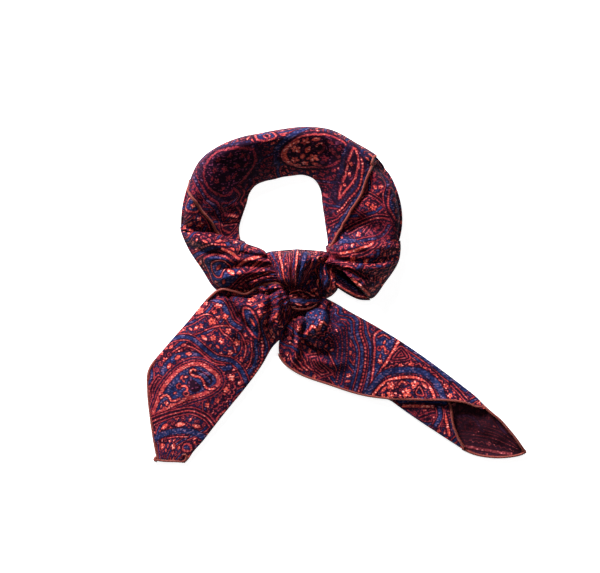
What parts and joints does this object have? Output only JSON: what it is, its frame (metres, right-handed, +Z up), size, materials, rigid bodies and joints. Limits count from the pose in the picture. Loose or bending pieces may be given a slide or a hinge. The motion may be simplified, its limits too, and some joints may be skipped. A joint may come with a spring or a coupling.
{
  "type": "paisley scarf",
  "caption": "Bias-folded square neck scarf in paisley brocade, tied in a ring with a gathered knot and two tails, laid flat.",
  "frame": {"origin": "centre of the scarf's box, on the surface it lies on", "axes": "+Z up, +Y away from the tails towards the back of the neck ring, +X along the right tail's side"},
  "size_m": [0.3306, 0.2916, 0.0391],
  "materials": {
    "brocade_face": "jacquard satin, coral red motifs on navy",
    "brocade_reverse": "wrong side of the jacquard, dull burgundy and dark navy"
  },
  "bodies": {
    "root": {"band_right": "brocade_face", "band_back": "brocade_face", "band_left": "brocade_face", "neck_flap": "brocade_face", "band_front_left": "brocade_face", "band_front_right": "brocade_face", "band_lower_lip": "brocade_face", "knot_wrap": "brocade_face", "knot_neck": "brocade_face", "knot_roll": "brocade_face", "left_tail": "brocade_face", "right_tail_top": "brocade_face", "right_tail_under": "brocade_reverse", "right_tail_turn": "brocade_face"}
  },
  "joints": []
}
